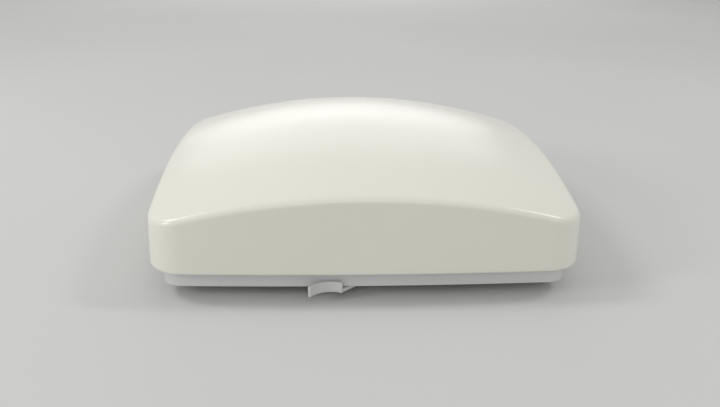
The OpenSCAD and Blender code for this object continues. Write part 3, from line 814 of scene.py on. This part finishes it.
def make_vent():
    """The vent plug: a shallow dished cap with six slots over its membrane, and a snap ring inside."""
    lo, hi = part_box("vent_plug")
    centre, cap_r = (lo + hi) / 2, (hi.x - lo.x) / 2
    stem_r, snap_r, lip_r, hub_r, stem_end_r = 2.95 * MM, 3.8 * MM, 3.8 * MM, 0.5 * MM, 0.8 * MM
    dish, cap_z, snap_z = 0.3 * MM, lo.z + 0.8 * MM, hi.z - 1.2 * MM
    cap_round, lip_w, slot_over = 0.15 * MM, 0.2 * MM, 0.1 * MM
    cap = [
        (hub_r, lo.z + dish),
        (lip_r - lip_w, lo.z + dish),
        (lip_r, lo.z),
        (cap_r, lo.z),
        (cap_r, cap_z),
        (stem_r, cap_z),
        (stem_r, snap_z),
        (snap_r, snap_z),
        (stem_r, hi.z),
        (stem_end_r, hi.z),
    ]
    at = upright_at(centre.x, centre.y)
    bm = bmesh.new()
    add_skin(bm, moved(turned(rounded(cap, cap_round), CAP_SEGMENTS), at))
    slots, count, slot_from, slot_to, half_w = bmesh.new(), 6, 1.2 * MM, 2.9 * MM, 0.25 * MM
    outline = ((slot_from, -half_w), (slot_to, -half_w), (slot_to, half_w), (slot_from, half_w))
    for k in range(count):
        rings = [[Vector((x, y, z)) for x, y in outline] for z in (lo.z - slot_over, lo.z + 2 * dish)]
        add_skin(slots, moved(rings, at @ Matrix.Rotation(FULL_TURN * k / count, 4, "Z")))
    place(finish_mesh("vent_cap", carved("vent", bm, slots)), "vent_plug")


def make_wave_washer():
    """Spring washer over the lever's hub, with three shallow waves in its thin ring."""
    lo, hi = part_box("lever_washer")
    centre, outer, room = (lo + hi) / 2, (hi.x - lo.x) / 2, hi.z - lo.z
    inner, thick, waves, segments = 2.6 * MM, 0.1 * MM, 3, 72
    rings = []
    for r, h in ((inner, 0), (outer, 0), (outer, thick), (inner, thick)):
        ring = []
        for i in range(segments):
            angle = FULL_TURN * i / segments
            z = lo.z + h + (room - thick) * (0.5 + 0.5 * math.cos(waves * angle))
            ring.append(Vector((centre.x + r * math.cos(angle), centre.y + r * math.sin(angle), z)))
        rings.append(ring)
    bm = bmesh.new()
    add_skin(bm, rings, closed=True)
    place(finish_mesh("lever_wave_washer", bm), "lever_washer")


def make_cam_pin():
    """The ground pin that the lever's slot runs round."""
    lo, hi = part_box("cam_pin")
    centre, r = (lo + hi) / 2, (hi.x - lo.x) / 2
    middle_r = 0.3 * r
    profile = rounded([(middle_r, lo.z), (r, lo.z), (r, hi.z), (middle_r, hi.z)], EDGE_BREAK)
    bm = bmesh.new()
    add_skin(bm, moved(turned(profile, PIN_SEGMENTS), upright_at(centre.x, centre.y)))
    place(finish_mesh("cam_pin_ground", bm), "cam_pin")


SOFT_EDGES_MM = {
    "base_tray": 0.25,
    "wall_plate": 0.25,
    "lock_lever": 0.2,
    "lever_screw": 0.12,
    "rim_gasket": 0.2,
    "label": 0.03,
    "reflector": 0.12,
    "feed_board": 0.05,
    "feed_traces": 0.01,
    "feed_pins": 0.08,
    "lower_spacers": 0.2,
    "upper_spacers": 0.2,
    "stack_nuts": 0.15,
    "coax_jumper": 0.03,
    "solder_joint": 0.08,
    "jack_seal": 0.12,
    **{f"driven_patch_{i}": 0.12 for i in range(1, 5)},
    **{f"director_{i}": 0.12 for i in range(1, 5)},
}


def make_softened_parts():
    for node, width in SOFT_EDGES_MM.items():
        place(softened(node, width * MM), node)


# ---------------------------------------------------------------- floor, lights and camera

FLOOR_HALF, FLOOR_DROP, FLOOR_GRID = 20.0, 0.05 * MM, 8
FLOOR_DARK, FLOOR_PALE = (0.60, 0.60, 0.59), (0.63, 0.63, 0.62)
LIGHTS_AIM = Vector((0, 0, 0.03))
# name, place, width and height in metres, watts
SOFTBOXES = (
    ("left_strip", (-0.8, 0.02, 0.93), 0.2, 0.42, 3.0),
    ("right_strip", (0.8, 0.02, 0.93), 0.14, 0.3, 2.0),
    ("left_low", (-1.2, -0.5, 0.6), 0.35, 0.35, 3.0),
    ("rear_low", (0.0, 1.5, 0.3), 1.2, 0.34, 0.9),
    ("rear_mid", (0.0, 1.4, 0.62), 1.4, 0.6, 1.4),
    ("front", (0.0, -1.3, 0.8), 1.0, 0.5, 1.5),
)
AMBIENT = 0.57
AZIMUTH, ELEVATION, ROLL = math.radians(-3.09), math.radians(21.35), math.radians(0.84)
CAMERA_AIM = Vector((1.0 * MM, 0, RIM_Z - 3.1 * MM))
CAMERA_DISTANCE = 392.8 * MM


def make_floor():
    """A pale floor a hair below the part, so that the two don't share a plane."""
    bm = bmesh.new()
    bmesh.ops.create_grid(bm, x_segments=FLOOR_GRID, y_segments=FLOOR_GRID, size=FLOOR_HALF)
    bm.transform(Matrix.Translation((0, 0, -FLOOR_DROP)))
    floor = finish_mesh("floor", bm)
    s = Shader("pale_floor")
    s.set(Roughness=0.9, Specular_IOR_Level=0.2)
    s.colour(s.blend(s.noise(size=0.4, detail=2.0), FLOOR_DARK, FLOOR_PALE, between=(0.3, 0.7)))
    floor.data.materials.append(s.material)


def softbox(name, place_at, width, height, watts):
    """An oval area light that faces the part."""
    light = bpy.data.lights.new(name, "AREA")
    light.shape = "ELLIPSE"
    light.size, light.size_y = width, height
    light.energy = watts
    obj = bpy.data.objects.new(name, light)
    obj.location = place_at
    obj.rotation_euler = (Vector(place_at) - LIGHTS_AIM).to_track_quat("Z", "Y").to_euler()
    scene.collection.objects.link(obj)


def make_lights():
    for row in SOFTBOXES:
        softbox(*row)
    world = bpy.data.worlds.new("soft_studio")
    world.use_nodes = True
    background = world.node_tree.nodes["Background"]
    background.inputs["Color"].default_value = (1.0, 1.0, 1.0, 1)
    background.inputs["Strength"].default_value = AMBIENT
    scene.world = world
    scene.view_settings.view_transform = "Standard"
    scene.view_settings.look = "None"


def make_camera():
    """Camera at the photograph's angle: nearly head-on, a little above, with strong perspective."""
    level = math.cos(ELEVATION)
    back = Vector((math.sin(AZIMUTH) * level, -math.cos(AZIMUTH) * level, math.sin(ELEVATION)))
    right = Vector((0, 0, 1)).cross(back).normalized()
    up = back.cross(right)
    tilted_right = right * math.cos(ROLL) + up * math.sin(ROLL)
    tilted_up = up * math.cos(ROLL) - right * math.sin(ROLL)
    data = bpy.data.cameras.new("camera")
    data.sensor_width, data.lens = 36.0, 36.52
    data.clip_start, data.clip_end = 0.01, 20.0
    camera = bpy.data.objects.new("camera", data)
    facing = Matrix((tilted_right, tilted_up, back)).transposed().to_4x4()
    camera.matrix_world = Matrix.Translation(CAMERA_AIM + back * CAMERA_DISTANCE) @ facing
    scene.collection.objects.link(camera)
    scene.camera = camera


make_radome()
make_bosses()
screw_set("radome_screws", TAPPING_R, TAPPING_PITCH, head_down=True)
screw_set("reflector_screws", TAPPING_R, TAPPING_PITCH)
screw_set("stack_screws", MACHINE_R, MACHINE_PITCH)
make_jack_shell()
make_jack_nut()
make_jack_core()
make_jack_contact()
make_jack_washer()
make_vent()
make_wave_washer()
make_cam_pin()
make_softened_parts()
make_floor()
make_lights()
make_camera()
